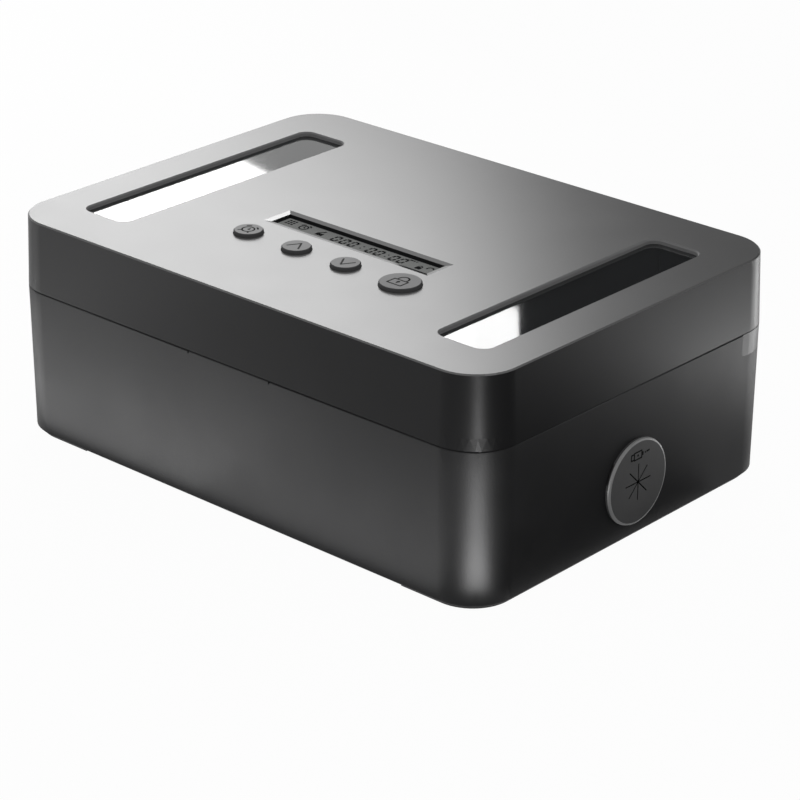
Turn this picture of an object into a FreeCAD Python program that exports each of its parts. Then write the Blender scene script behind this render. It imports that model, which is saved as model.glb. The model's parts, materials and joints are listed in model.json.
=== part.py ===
import FreeCAD, Part
import math
import os

import Sketcher
from FreeCAD import Placement, Rotation, Vector

# A timed lock container: a deep open case with a hinged lid that holds the timer, the keys and the lock.
# The origin is on the table under the middle of the case. +X is the cable side, -Y the front, +Z up.
# Every driving dimension is in millimetres and is written once, here.
DRIVING_SIZES = {
    # the case and the lid as seen from outside
    "seam_width": 210.6,
    "seam_depth": 151.0,
    "seam_corner": 16.8,
    "foot_height": 1.0,
    "case_height": 52.8,
    "seam_gap": 0.3,
    "lid_height": 24.6,
    "case_draft": 0.45,
    "lid_draft": 0.87,
    # shells
    "case_wall": 3.4,
    "case_floor": 2.6,
    "case_bottom_bevel": 1.3,
    "case_inner_bevel": 1.6,
    "rim_bevel": 0.35,
    "lid_wall": 2.2,
    "lid_top": 2.4,
    "lid_edge_bevel": 0.45,
    "lip_height": 1.6,
    "lip_clearance": 0.3,
    "nick_spacing": 36.2,
    "nick_width": 0.5,
    "nick_height": 1.0,
    "nick_sink": 0.6,
    # foot strips
    "foot_inset": 0.7,
    "foot_side_width": 33.3,
    "foot_bevel": 0.25,
    # windows in the lid
    "window_side_margin": 16.2,
    "window_front_margin": 20.4,
    "window_back_margin": 22.1,
    "window_width": 20.4,
    "window_corner": 4.0,
    "window_sink": 1.6,
    "window_bevel": 0.5,
    "pane_thickness": 1.5,
    "pane_margin": 2.0,
    "pane_clearance": 0.1,
    # display
    "display_width": 73.0,
    "display_depth": 12.7,
    "display_row_gap": 17.9,
    "display_slope": 1.9,
    "display_bevel_depth": 0.4,
    "display_sink": 1.7,
    "lens_thickness": 0.6,
    "lens_margin": 1.0,
    "panel_thickness": 2.0,
    "panel_gap": 0.15,
    "panel_margin": 2.4,
    # keys
    "key_row_margin": 42.1,
    "timer_key_side": -32.0,
    "up_key_side": -10.05,
    "down_key_side": 11.75,
    "lock_key_side": 35.4,
    "key_radius": 5.0,
    "lock_key_radius": 7.0,
    "key_clearance": 0.2,
    "key_rise": 1.3,
    "key_edge_bevel": 0.35,
    "key_travel": 0.6,
    "key_flange_margin": 1.2,
    "key_flange_height": 1.1,
    "key_flange_gap": 0.05,
    # circuit board and what it carries
    "board_width": 104.0,
    "board_depth": 38.0,
    "board_row_gap": 9.4,
    "board_thickness": 1.6,
    "board_seat_gap": 0.05,
    "board_screw_inset": 3.4,
    "switch_side": 6.0,
    "switch_body_height": 3.2,
    "switch_stem_radius": 1.7,
    "switch_stem_height": 0.4,
    "switch_stem_root": 0.5,
    "switch_gap": 0.15,
    "buzzer_side_place": -36.0,
    "buzzer_radius": 5.5,
    "buzzer_height": 3.5,
    "chip_side_place": -14.0,
    "chip_side": 9.0,
    "chip_height": 1.5,
    # inner cover of the lid
    "cover_side_gap": 1.8,
    "cover_end_gap": 9.0,
    "cover_corner": 6.0,
    "cover_wall": 1.6,
    "cover_floor": 1.8,
    "cover_drop": 5.3,
    "cover_top_gap": 0.3,
    "cover_edge_bevel": 0.8,
    "cover_screw_side_inset": 5.8,
    "cover_screw_end_inset": 14.5,
    # hinge
    "rail_height": 8.0,
    "rail_sink": 2.2,
    "rail_return": 20.3,
    "rail_clearance": 0.05,
    "rail_corner": 1.7,
    "hinge_reach": 3.2,
    "barrel_radius": 2.1,
    "barrel_clearance": 0.3,
    "pin_radius": 0.9,
    "pin_clearance": 0.05,
    "hinge_side_margin": 43.3,
    "lid_knuckle_length": 16.0,
    "rail_knuckle_length": 9.0,
    "knuckle_gap": 0.3,
    "gusset_height": 6.6,
    "gusset_root": 0.9,
    "gusset_toe": 0.7,
    "gusset_gap": 0.3,
    "groove_end_gap": 0.3,
    "rail_screw_rise": 1.6,
    # cable grommet
    "grommet_middle": 0.15,
    "grommet_centre_height": 21.1,
    "grommet_flange_radius": 14.65,
    "grommet_rise": 1.4,
    "grommet_neck_radius": 11.5,
    "grommet_neck_clearance": 0.2,
    "grommet_inner_flange_radius": 13.4,
    "grommet_inner_flange": 1.4,
    "grommet_web": 1.8,
    "grommet_rim_bevel": 0.8,
    "grommet_seat_gap": 0.15,
    "grommet_bore_margin": 1.6,
    "slit_length": 6.35,
    "slit_width": 0.4,
    "slit_lines": 4,
    # lock
    "bolt_width": 9.0,
    "bolt_thickness": 2.6,
    "bolt_nose_height": 3.6,
    "bolt_nose_length": 9.0,
    "bolt_length": 25.0,
    "bolt_clearance": 0.1,
    "bolt_slot_clearance": 0.2,
    "rack_start": 4.2,
    "rack_width": 7.2,
    "rack_addendum": 0.5,
    "rack_dedendum": 1.05,
    "tooth_module": 1.0,
    "pinion_teeth": 10,
    "rack_teeth": 4,
    "gear_backlash": 0.3,
    "pinion_width": 5.0,
    "pinion_addendum": 0.8,
    "pinion_dedendum": 0.7,
    "pinion_room": 1.3,
    "pressure_angle": 20.0,
    "motor_shaft_radius": 1.5,
    "motor_shaft_length": 10.0,
    "motor_shaft_clearance": 0.06,
    "motor_shaft_seat": 3.0,
    "gearbox_gap": 0.3,
    "gearbox_length": 9.0,
    "can_length": 15.0,
    "motor_width": 12.0,
    "motor_height": 10.0,
    "motor_corner": 4.5,
    "motor_clearance": 0.05,
    "guide_length": 21.0,
    "guide_wall": 3.0,
    "guide_roof": 1.4,
    "guide_flange": 6.5,
    "guide_flange_length": 7.8,
    "guide_flange_height": 1.6,
    "bracket_lap": 2.0,
    "bracket_length": 14.0,
    "bracket_wall": 1.0,
    "bracket_flange": 6.0,
    "keeper_width": 22.0,
    "keeper_thickness": 2.0,
    "keeper_drop": 14.0,
    "keeper_frame": 2.5,
    "keeper_gap": 0.2,
    "keeper_screw_spacing": 13.2,
    "keeper_hole_clearance": 0.7,
    "bolt_rest_gap": 0.8,
    "guide_seat_gap": 0.2,
    # batteries
    "cell_radius": 5.25,
    "cell_length": 44.5,
    "cell_count": 3,
    "cell_spacing": 11.0,
    "cell_clearance": 0.3,
    "cell_cap_height": 0.9,
    "cell_cap_radius": 1.75,
    "battery_back_margin": 43.0,
    "battery_wall": 1.5,
    "battery_end_space": 1.0,
    "contact_thickness": 0.5,
    "contact_height": 8.4,
    "contact_gap": 0.05,
    "door_clearance": 0.25,
    "door_thickness": 1.6,
    "door_tab_width": 12.0,
    "door_tab_length": 9.0,
    "door_tab_thickness": 0.9,
    "door_screw_offset": 5.4,
    # screws
    "screw_shank_radius": 0.95,
    "screw_head_radius": 2.0,
    "screw_head_height": 1.2,
    "screw_head_clearance": 0.3,
    "screw_end_gap": 0.2,
    "screw_hole_clearance": 0.05,
    "screw_seat_gap": 0.1,
    "boss_radius": 3.0,
    "small_boss_radius": 2.55,
    "drill_overlap": 0.3,
    "rail_screw_length": 3.8,
    "keeper_screw_length": 4.4,
    "cover_screw_length": 9.0,
    "board_screw_length": 4.4,
    "lock_screw_length": 2.9,
    "door_screw_length": 4.6,
}


class Size(float):
    """A length that remembers which cells of the sheet it was worked out from."""

    def __new__(cls, number, text):
        size = super().__new__(cls, number)
        size.text = text
        return size

    def __add__(self, other):
        return Size(float(self) + float(other), f"({self.text} + {text_of(other)})")

    def __radd__(self, other):
        return Size(float(other) + float(self), f"({text_of(other)} + {self.text})")

    def __sub__(self, other):
        return Size(float(self) - float(other), f"({self.text} - {text_of(other)})")

    def __rsub__(self, other):
        return Size(float(other) - float(self), f"({text_of(other)} - {self.text})")

    def __mul__(self, other):
        return Size(float(self) * float(other), f"({self.text} * {text_of(other)})")

    def __rmul__(self, other):
        return Size(float(other) * float(self), f"({text_of(other)} * {self.text})")

    def __truediv__(self, other):
        return Size(float(self) / float(other), f"({self.text} / {text_of(other)})")

    def __neg__(self):
        return Size(-float(self), f"(-{self.text})")


def text_of(number):
    """Give the expression of a size, or a plain number as text."""
    return getattr(number, "text", f"{float(number):.6f}")


def slope(rise, run):
    """Give the angle, in degrees, of a wall that leans by rise over run."""
    return Size(math.degrees(math.atan2(float(rise), float(run))), f"atan({text_of(rise)} / {text_of(run)})")


doc = FreeCAD.newDocument("timed_lock_container")
sheet = doc.addObject("Spreadsheet::Sheet", "Sizes")
for row, (name, number) in enumerate(DRIVING_SIZES.items(), 1):
    sheet.set(f"A{row}", name)
    sheet.set(f"B{row}", str(number))
    sheet.setAlias(f"B{row}", name)
doc.recompute()


class Driving:
    """Every driving dimension by its name."""


for name, number in DRIVING_SIZES.items():
    setattr(Driving, name, Size(number, f"Sizes.{name}"))
d = Driving

# Heights and places that several pieces share.
seam = d.foot_height + d.case_height
lid_low = seam + d.seam_gap
lid_high = lid_low + d.lid_height
lid_under = lid_high - d.lid_top
half_width = d.seam_width / 2
half_depth = d.seam_depth / 2
cavity_half_depth = half_depth - d.case_wall
drawn_in_per_mm = d.case_draft / d.case_height
hinge_x = half_width - d.hinge_side_margin
hinge_y = half_depth + d.hinge_reach - d.barrel_radius
hinge_z = seam + d.seam_gap / 2
hinge_half_length = d.lid_knuckle_length / 2 + d.knuckle_gap + d.rail_knuckle_length
window_x = half_width - d.window_side_margin - d.window_width / 2
window_y = (d.window_front_margin - d.window_back_margin) / 2
window_length = d.seam_depth - d.window_front_margin - d.window_back_margin
key_row = d.key_row_margin - half_depth
display_y = key_row + d.display_row_gap
display_floor_width = d.display_width - d.display_slope * 2
display_floor_depth = d.display_depth - d.display_slope * 2
board_y = key_row + d.board_row_gap
pane_top = lid_high - d.window_sink
lens_top = lid_high - d.display_sink
panel_top = lens_top - d.lens_thickness - d.panel_gap
switch_height = d.switch_body_height + d.switch_stem_height
board_top = lid_under - d.key_flange_height - d.key_travel - switch_height - d.switch_gap
board_low = board_top - d.board_thickness
cover_half_width = window_x - d.window_width / 2 - d.pane_margin - d.pane_clearance - d.cover_side_gap
cover_half_depth = half_depth - d.cover_end_gap
cover_low = lid_low + d.cover_drop
cover_top = cover_low + d.cover_floor
screw_hole_radius = d.screw_shank_radius + d.screw_hole_clearance
keeper_back = -(cavity_half_depth - d.keeper_gap - d.keeper_thickness)
bolt_tip = keeper_back + d.bolt_rest_gap
bolt_low = cover_top + d.bolt_clearance
bolt_top = bolt_low + d.bolt_thickness
rack_addendum = d.tooth_module * d.rack_addendum
rack_dedendum = d.tooth_module * d.rack_dedendum
pitch_line = bolt_top + rack_dedendum
pitch_radius = d.tooth_module * d.pinion_teeth / 2
pinion_y = bolt_tip + d.bolt_nose_length + d.rack_start
pinion_z = pitch_line + pitch_radius
guide_top = pitch_line + rack_addendum + d.bolt_clearance + d.guide_roof
guide_half_width = d.bolt_width / 2 + d.bolt_clearance + d.guide_wall
guide_front = d.cover_wall - cover_half_depth + d.guide_seat_gap
guide_y = guide_front + d.guide_length / 2
gearbox_face = guide_half_width + d.gearbox_gap
bracket_start = gearbox_face + d.gearbox_length - d.bracket_lap
bracket_half_width = d.motor_width / 2 + d.motor_clearance + d.bracket_wall
battery_half_length = d.cell_length / 2 + d.battery_end_space
battery_half_depth = d.cell_spacing * d.cell_count / 2 + d.cell_clearance
battery_y = cover_half_depth - d.battery_back_margin
cell_z = cover_low + d.door_thickness + d.cell_clearance + d.cell_radius
holder_top = cell_z + d.cell_radius + d.cell_clearance + d.battery_wall
door_screw_y = battery_y + battery_half_depth + d.door_screw_offset
rail_screw_z = hinge_z - d.gusset_height + d.rail_screw_rise
X_AXIS, Y_AXIS, Z_AXIS = Vector(1, 0, 0), Vector(0, 1, 0), Vector(0, 0, 1)
HOLE_SIDES, HEAD_SIDES, BOSS_SIDES = 8, 12, 12
SAME = 0.001
LEAST_CHANGE = 0.0001
nodes = []


def bind(thing, name, size):
    """Tie one property to the sheet."""
    thing.setExpression(name, text_of(size))


def place(thing, x=0, y=0, z=0, axis=Z_AXIS, degrees=0):
    """Turn a piece about an axis and tie its place to the sheet."""
    thing.Placement = Placement(Vector(float(x), float(y), float(z)), Rotation(axis, float(degrees)))
    for letter, size in zip("xyz", (x, y, z)):
        bind(thing, f"Placement.Base.{letter}", size)
    return thing


def kept(thing, label):
    """Name a finished piece and put it on the list of nodes."""
    thing.Label = label
    nodes.append(thing)
    return thing


def new_body(name):
    """Start a piece that is made of sketches and features."""
    return doc.addObject("PartDesign::Body", name)


def attach(thing, body, role, x=0, y=0, z=0):
    """Put a sketch or a primitive on one of the body's own planes, moved in the plane's own directions."""
    plane = next(feature for feature in body.Origin.OriginFeatures if feature.Role == role)
    thing.AttachmentSupport = (plane, [""])
    thing.MapMode = "FlatFace"
    for letter, size in zip("xyz", (x, y, z)):
        bind(thing, f"AttachmentOffset.Base.{letter}", size)
    return thing


def sketch_on(body, role, x=0, y=0, z=0):
    """Start a sketch on one of the body's own planes."""
    return attach(body.newObject("Sketcher::SketchObject", "outline"), body, role, x, y, z)


def dimension(sketch, name, constraint, size):
    """Add a dimension to a sketch and tie it to the sheet."""
    index = sketch.addConstraint(constraint)
    sketch.renameConstraint(index, name)
    bind(sketch, f"Constraints.{name}", size)


def rectangle(sketch, width, depth):
    """Draw a rectangle with sharp corners about the sketch's own origin."""
    side, end = float(width) / 2, float(depth) / 2
    corners = [Vector(-side, -end, 0), Vector(side, -end, 0), Vector(side, end, 0), Vector(-side, end, 0)]
    for number in range(4):
        sketch.addGeometry(Part.LineSegment(corners[number], corners[(number + 1) % 4]))
    rules = [Sketcher.Constraint("Coincident", number, 2, (number + 1) % 4, 1) for number in range(4)]
    rules += [Sketcher.Constraint("Vertical" if number % 2 else "Horizontal", number) for number in range(4)]
    rules.append(Sketcher.Constraint("Symmetric", 0, 1, 2, 1, -1, 1))
    sketch.addConstraint(rules)
    dimension(sketch, "width", Sketcher.Constraint("DistanceX", 0, 1, 0, 2, 2 * side), width)
    dimension(sketch, "depth", Sketcher.Constraint("DistanceY", 1, 1, 1, 2, 2 * end), depth)
    return sketch


def rounded_rectangle(sketch, width, depth, corner, tag=""):
    """Draw a rectangle with round corners about the sketch's own origin."""
    side, end, radius = float(width) / 2, float(depth) / 2, float(corner)
    first = sketch.GeometryCount
    lines = (
        ((radius - side, -end), (side - radius, -end)),
        ((side, radius - end), (side, end - radius)),
        ((side - radius, end), (radius - side, end)),
        ((-side, end - radius), (-side, radius - end)),
    )
    centres = ((1, -1), (1, 1), (-1, 1), (-1, -1))
    for start, stop in lines:
        sketch.addGeometry(Part.LineSegment(Vector(*start, 0), Vector(*stop, 0)))
    for number, (across, along) in enumerate(centres):
        centre = Vector(across * (side - radius), along * (end - radius), 0)
        turn = math.radians(90 * number - 90)
        arc = Part.ArcOfCircle(Part.Circle(centre, Z_AXIS, radius), turn, turn + math.pi / 2)
        sketch.addGeometry(arc)
    rules = []
    for number in range(4):
        arc = first + 4 + number
        rules.append(Sketcher.Constraint("Tangent", first + number, 2, arc, 1))
        rules.append(Sketcher.Constraint("Tangent", arc, 2, first + (number + 1) % 4, 1))
        rules.append(Sketcher.Constraint("Vertical" if number % 2 else "Horizontal", first + number))
        if number:
            rules.append(Sketcher.Constraint("Equal", first + 4, arc))
    rules.append(Sketcher.Constraint("Symmetric", first + 4, 3, first + 6, 3, -1, 1))
    sketch.addConstraint(rules)
    across = Sketcher.Constraint("DistanceX", first + 3, 1, first + 1, 1, 2 * side)
    along = Sketcher.Constraint("DistanceY", first, 1, first + 2, 1, 2 * end)
    dimension(sketch, "width" + tag, across, width)
    dimension(sketch, "depth" + tag, along, depth)
    dimension(sketch, "corner" + tag, Sketcher.Constraint("Radius", first + 4, radius), corner)
    return sketch


def circle(sketch, radius):
    """Draw a circle about the sketch's own origin."""
    index = sketch.addGeometry(Part.Circle(Vector(0, 0, 0), Z_AXIS, float(radius)))
    sketch.addConstraint(Sketcher.Constraint("Coincident", index, 3, -1, 1))
    dimension(sketch, "radius", Sketcher.Constraint("Radius", index, float(radius)), radius)
    return sketch


def polygon(sketch, points):
    """Draw straight lines through points, each tied to the sheet in both directions."""
    count = len(points)
    for number, point in enumerate(points):
        following = points[(number + 1) % count]
        start, stop = Vector(*map(float, point), 0), Vector(*map(float, following), 0)
        sketch.addGeometry(Part.LineSegment(start, stop))
    for number in range(count):
        sketch.addConstraint(Sketcher.Constraint("Coincident", number, 2, (number + 1) % count, 1))
    for number, point in enumerate(points):
        for kind, size, axis in (("DistanceX", point[0], -2), ("DistanceY", point[1], -1)):
            if isinstance(size, Size):
                rule = Sketcher.Constraint(kind, -1, 1, number, 1, float(size))
                dimension(sketch, f"{kind}{number}", rule, size)
            else:
                sketch.addConstraint(Sketcher.Constraint("PointOnObject", number, 1, axis))
    return sketch


def feature(body, kind, profile, length=None, taper=None, reverse=False, both=False):
    """Add a pad or a pocket of a sketch to a body, and see that it changed the solid."""
    doc.recompute()
    before = body.Shape.Volume if not body.Shape.isNull() else 0
    step = body.newObject(f"PartDesign::{kind}", kind.lower())
    step.Profile = profile
    bind(step, "Length", length)
    if taper is not None:
        bind(step, "TaperAngle", taper)
    step.Reversed = reverse
    step.Midplane = both
    doc.recompute()
    if abs(body.Shape.Volume - before) < LEAST_CHANGE:
        raise RuntimeError(f"{kind} of {body.Name} changed nothing")
    return step


def fastener_stock(body, kind, role, places, z, radius, length, sides):
    """Add or drill like prisms at several places on one plane: the bosses and holes of small fasteners.

    They have few sides because they repeat so often, and they run from z along the plane's normal."""
    before = body.Shape.Volume
    for x, y in places:
        prism = attach(body.newObject(f"PartDesign::{kind}", "stock"), body, role, x, y, z)
        prism.Polygon = sides
        bind(prism, "Circumradius", radius)
        bind(prism, "Height", length)
        doc.recompute()
    if abs(body.Shape.Volume - before) < LEAST_CHANGE:
        raise RuntimeError(f"{kind} of {body.Name} changed nothing")


def drill(body, role, places, z, length):
    """Drill screw holes from z along the plane's normal."""
    fastener_stock(body, "SubtractivePrism", role, places, z, screw_hole_radius, length, HOLE_SIDES)


def raise_bosses(body, places, z, radius, length):
    """Stand screw bosses on a face."""
    fastener_stock(body, "AdditivePrism", "XY_Plane", places, z, radius, length, BOSS_SIDES)


def edges_where(shape, test):
    """Name the edges whose box passes a test."""
    return [f"Edge{number}" for number, edge in enumerate(shape.Edges, 1) if test(edge.BoundBox)]


def at(value, size):
    """Tell whether two lengths are the same."""
    return abs(value - float(size)) < SAME


def level(size):
    """Test for edges that lie flat at one height."""
    return lambda box: at(box.ZMin, size) and at(box.ZMax, size)


def dress(body, kind, test, size):
    """Round or bevel the edges that pass a test."""
    base = body.Tip
    step = body.newObject(f"PartDesign::{kind}", kind.lower())
    step.Base = (base, edges_where(base.Shape, test))
    bind(step, "Radius" if kind == "Fillet" else "Size", size)
    doc.recompute()
    return step


def box(x, y, z, length, width, height):
    """Make a block from its lowest corner."""
    block = doc.addObject("Part::Box", "block")
    for name, size in (("Length", length), ("Width", width), ("Height", height)):
        bind(block, name, size)
    return place(block, x, y, z)


def centred_box(x, y, z, length, width, height):
    """Make a block from the middle of its lowest face."""
    return box(x - length / 2, y - width / 2, z, length, width, height)


def rod(radius, length, x, y, z, axis=Z_AXIS, degrees=0):
    """Make a cylinder that starts at a point and runs along its turned Z axis."""
    cylinder = doc.addObject("Part::Cylinder", "rod")
    bind(cylinder, "Radius", radius)
    bind(cylinder, "Height", length)
    return place(cylinder, x, y, z, axis, degrees)


def prism(radius, length, sides, x, y, z):
    """Make an upright prism with its corners on a circle."""
    bar = doc.addObject("Part::Prism", "prism")
    bar.Polygon = sides
    bind(bar, "Circumradius", radius)
    bind(bar, "Height", length)
    return place(bar, x, y, z)


def holes(places, z, length, radius=None, sides=HOLE_SIDES):
    """Make the tools for upright screw holes, or for wider recesses where a radius is given."""
    return [prism(radius or screw_hole_radius, length, sides, x, y, z) for x, y in places]


def joined(parts, name="joined"):
    """Fuse overlapping blocks into one solid."""
    fuse = doc.addObject("Part::MultiFuse", name)
    fuse.Shapes = parts
    fuse.Refine = True
    return fuse


def cut(base, tools, name="cut"):
    """Take tools away from a base."""
    result = doc.addObject("Part::Cut", name)
    result.Base = base
    result.Tool = tools[0] if len(tools) == 1 else joined(tools)
    result.Refine = True
    return result


def group(parts, name):
    """Keep separate like solids in one node."""
    compound = doc.addObject("Part::Compound", name)
    compound.Links = parts
    return compound


def screws(name, places, length, axis=Z_AXIS, degrees=0):
    """Make pan-head screws whose heads sit at the given places, shanks along the turned +Z."""
    copies = []
    for x, y, z in places:
        head = prism(d.screw_head_radius, d.screw_head_height, HEAD_SIDES, 0, 0, -d.screw_head_height)
        shank = prism(d.screw_shank_radius, length, HOLE_SIDES, 0, 0, 0)
        copies.append(place(joined([head, shank], "screw"), x, y, z, axis, degrees))
    return kept(group(copies, name), name)


def case_outline(body, height, draft_height, shrink=0, tag=""):
    """Draw the case's outline at a height below the seam, drawn in by shrink all round."""
    drawn_in = drawn_in_per_mm * draft_height + shrink
    sketch = sketch_on(body, "XY_Plane", z=height)
    return rounded_rectangle(sketch, d.seam_width - drawn_in * 2, d.seam_depth - drawn_in * 2,
                             d.seam_corner - drawn_in, tag)


def rail_form(name, clearance, spare):
    """Make the strip that wraps the back of the case and both back corners, under the seam.

    The rail itself has a clearance all round; the recess for it has spare stock outside and above."""
    body = new_body(name)
    low = seam - d.rail_height + clearance
    start = half_depth - d.rail_return + clearance
    outline = case_outline(body, low, d.rail_height - clearance, -spare)
    feature(body, "Pad", outline, d.rail_height - clearance + spare, slope(d.case_draft, d.case_height))
    inner = case_outline(body, seam + spare, 0, d.rail_sink - clearance)
    feature(body, "Pocket", inner, d.rail_height + spare)
    front = sketch_on(body, "XY_Plane", y=start - d.seam_depth / 2, z=seam + spare)
    rectangle(front, d.seam_width + d.rail_sink * 2, d.seam_depth)
    feature(body, "Pocket", front, d.rail_height + spare)
    front_corner = lambda edge: level(low)(edge) and at(edge.YMin, start) and at(edge.YMax, start)
    dress(body, "Fillet", front_corner, d.rail_corner)
    return body


def knuckle(body, side, length, offset, way):
    """Add a hinge barrel and the gusset that carries it: way is 1 for one that reaches up and -1 for down."""
    middle = side * hinge_x + offset
    barrel = circle(sketch_on(body, "YZ_Plane", hinge_y, hinge_z, middle), d.barrel_radius)
    feature(body, "Pad", barrel, length, both=True)
    inward = hinge_y - half_depth + d.gusset_root
    web = sketch_on(body, "YZ_Plane", hinge_y, hinge_z, middle)
    foot, rise = d.gusset_gap * way, d.gusset_height * way
    outer = d.barrel_radius - d.gusset_gap / 5
    toe = d.gusset_toe - inward
    polygon(web, ((-inward, foot), (outer, foot), (outer, foot * 2), (toe, rise), (-inward, rise)))
    feature(body, "Pad", web, length, both=True)


def hinge_groove(body, side, radius, length, offset=0):
    """Clear the space that the other leaf's barrel turns in."""
    sketch = sketch_on(body, "YZ_Plane", hinge_y, hinge_z, side * hinge_x + offset)
    feature(body, "Pocket", circle(sketch, radius), length, both=True)


def rail_screw_sides():
    """The four places along the hinge where a screw holds the rail to the case."""
    offset = d.lid_knuckle_length / 2 + d.knuckle_gap + d.rail_knuckle_length / 2
    return [side * hinge_x + way * offset for side in (-1, 1) for way in (-1, 1)]


def keeper_screw_places():
    """The two screws under the keeper's window."""
    return [(side * d.keeper_screw_spacing / 2, seam - d.keeper_drop / 2) for side in (-1, 1)]


def make_case():
    """The open case: tapered walls, floor, rim lip, and the recesses for the rail, grommet and keeper."""
    body = new_body("case")
    outer = case_outline(body, d.foot_height, d.case_height)
    taper = slope(d.case_draft, d.case_height)
    feature(body, "Pad", outer, d.case_height, taper)
    dress(body, "Chamfer", level(d.foot_height), d.case_bottom_bevel)
    dress(body, "Chamfer", level(seam), d.rim_bevel)
    inner = case_outline(body, seam, 0, d.case_wall)
    feature(body, "Pocket", inner, d.case_height - d.case_floor, -taper)
    dress(body, "Chamfer", level(d.foot_height + d.case_floor), d.case_inner_bevel)
    lip = case_outline(body, seam, 0, d.lid_wall + d.lip_clearance)
    drawn_in = d.case_wall
    rounded_rectangle(lip, d.seam_width - drawn_in * 2, d.seam_depth - drawn_in * 2,
                      d.seam_corner - drawn_in, "_inner")
    feature(body, "Pad", lip, d.lip_height)
    port_start = half_width - d.case_wall * 2
    port = sketch_on(body, "YZ_Plane", d.grommet_middle, d.grommet_centre_height, port_start)
    feature(body, "Pocket", circle(port, d.grommet_neck_radius + d.grommet_neck_clearance), d.case_wall * 3,
            reverse=True)
    for side in (-1, 1):
        nick = rectangle(sketch_on(body, "XY_Plane", side * d.nick_spacing / 2, -half_depth, seam),
                         d.nick_width, d.nick_sink * 2)
        feature(body, "Pocket", nick, d.nick_height)
    keeper_hole = d.keeper_screw_length - d.keeper_thickness + d.drill_overlap
    drill(body, "XZ_Plane", keeper_screw_places(), cavity_half_depth - d.drill_overlap, keeper_hole)
    drill(body, "XZ_Plane", [(x, rail_screw_z) for x in rail_screw_sides()],
          d.rail_sink - half_depth, d.case_wall)
    shell = cut(body, [rail_form("rail_recess", 0, d.rail_sink / 2)], "case_with_recess")
    kept(shell, "case_shell")


def make_hinge():
    """The rail with its fixed knuckles, the screws that hold it and the two hinge pins."""
    rail = rail_form("rail", d.rail_clearance, 0)
    offset = d.lid_knuckle_length / 2 + d.knuckle_gap + d.rail_knuckle_length / 2
    for side in (-1, 1):
        hinge_groove(rail, side, d.barrel_radius + d.barrel_clearance, hinge_half_length * 2)
        for way in (-1, 1):
            knuckle(rail, side, d.rail_knuckle_length, way * offset, -1)
        hinge_groove(rail, side, d.pin_radius, hinge_half_length * 2)
    screw_end = cavity_half_depth - d.screw_seat_gap + d.rail_screw_length
    drill(rail, "XZ_Plane", [(x, rail_screw_z) for x in rail_screw_sides()],
          -screw_end - d.screw_end_gap, d.rail_screw_length)
    kept(rail, "hinge_rail")
    places = [(x, cavity_half_depth - d.screw_seat_gap, rail_screw_z) for x in rail_screw_sides()]
    screws("rail_screws", places, d.rail_screw_length, X_AXIS, -90)
    pins = [rod(d.pin_radius, hinge_half_length * 2, side * hinge_x - hinge_half_length,
                hinge_y, hinge_z, Y_AXIS, 90) for side in (-1, 1)]
    kept(group(pins, "pins"), "hinge_pins")


def make_feet():
    """Two foot strips under the sides of the case, following its bottom corners."""
    body = new_body("foot")
    inset = d.case_draft + d.case_bottom_bevel + d.foot_inset
    outline = sketch_on(body, "XY_Plane")
    rounded_rectangle(outline, d.seam_width - inset * 2, d.seam_depth - inset * 2, d.seam_corner - inset)
    feature(body, "Pad", outline, d.foot_height)
    middle_width = d.seam_width - d.foot_side_width
    middle = sketch_on(body, "XY_Plane", x=-d.foot_side_width / 2, z=d.foot_height)
    feature(body, "Pocket", rectangle(middle, middle_width, d.seam_depth), d.foot_height)
    dress(body, "Chamfer", level(0), d.foot_bevel)
    other = doc.addObject("Part::Mirroring", "other_foot")
    other.Source = body
    other.Normal = X_AXIS
    kept(group([body, other], "feet"), "foot_strips")


def make_keeper():
    """The steel keeper inside the front wall, with the window that the bolt enters."""
    window_low = bolt_low - d.keeper_hole_clearance
    window_height = d.bolt_nose_height + d.keeper_hole_clearance * 2
    window_width = d.bolt_width + d.keeper_hole_clearance * 2
    low = seam - d.keeper_drop
    height = window_low + window_height + d.keeper_frame - low
    body = new_body("keeper_plate")
    front = cavity_half_depth - d.keeper_gap
    outline = sketch_on(body, "XZ_Plane", y=low + height / 2, z=front)
    feature(body, "Pad", rectangle(outline, d.keeper_width, height), d.keeper_thickness, reverse=True)
    window = sketch_on(body, "XZ_Plane", y=window_low + window_height / 2, z=front)
    feature(body, "Pocket", rectangle(window, window_width, window_height), d.keeper_thickness)
    upright = lambda edge: (edge.ZLength < SAME and edge.XLength < SAME
                            and at(max(-edge.XMin, edge.XMax), d.keeper_width / 2))
    dress(body, "Chamfer", upright, d.keeper_frame / 2)
    drill(body, "XZ_Plane", keeper_screw_places(), -keeper_back, d.keeper_thickness)
    kept(body, "lock_keeper")
    places = [(x, keeper_back, z) for x, z in keeper_screw_places()]
    screws("keeper_screws", places, d.keeper_screw_length - d.screw_end_gap, X_AXIS, 90)


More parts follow.
